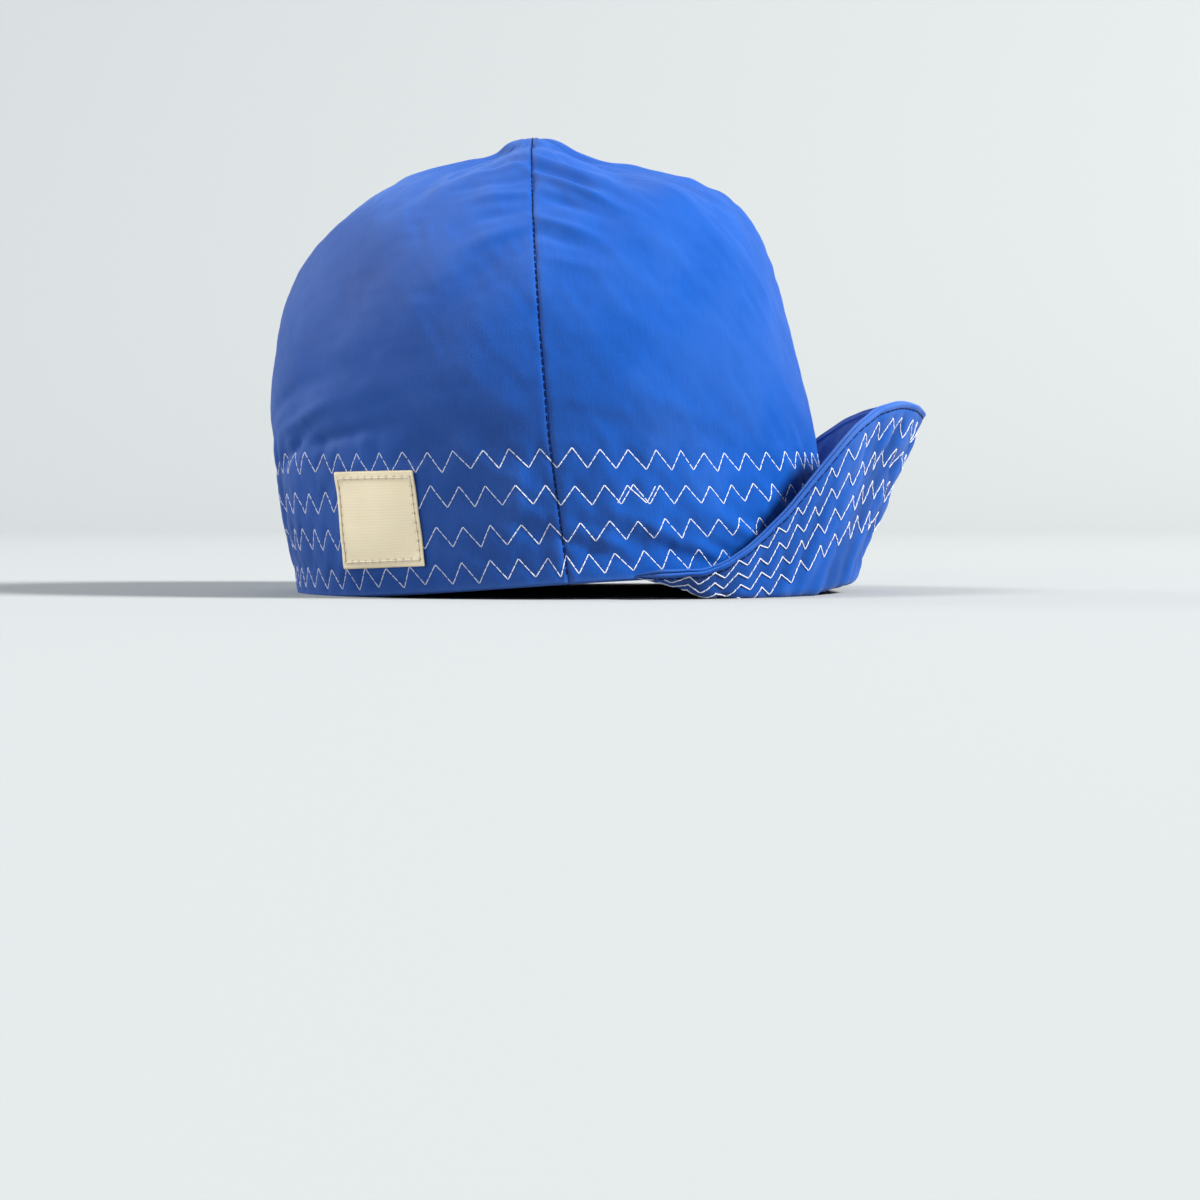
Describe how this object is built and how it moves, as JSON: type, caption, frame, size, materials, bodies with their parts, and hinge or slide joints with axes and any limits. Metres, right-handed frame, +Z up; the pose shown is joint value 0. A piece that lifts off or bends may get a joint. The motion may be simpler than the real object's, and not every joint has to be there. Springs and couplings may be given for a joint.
{
  "type": "welding cap",
  "caption": "Soft welder's cap of sewn cotton gores with a doubled band, a bill turned up round the front and a small cloth label.",
  "frame": {"origin": "on the resting plane, below the middle of the cap's outline", "axes": "+Z up, -Y towards the bill, -X the wearer's right, where the label is"},
  "size_m": [0.1848, 0.234, 0.1602],
  "materials": {
    "blue_cotton": "matte cotton twill",
    "cream_cotton": "matte cotton canvas"
  },
  "bodies": {
    "root": {"panel_front_right": "blue_cotton", "panel_front_left": "blue_cotton", "panel_back_right": "blue_cotton", "panel_back_left": "blue_cotton", "bill_outer": "blue_cotton", "bill_inner": "blue_cotton", "label": "cream_cotton"}
  },
  "joints": []
}
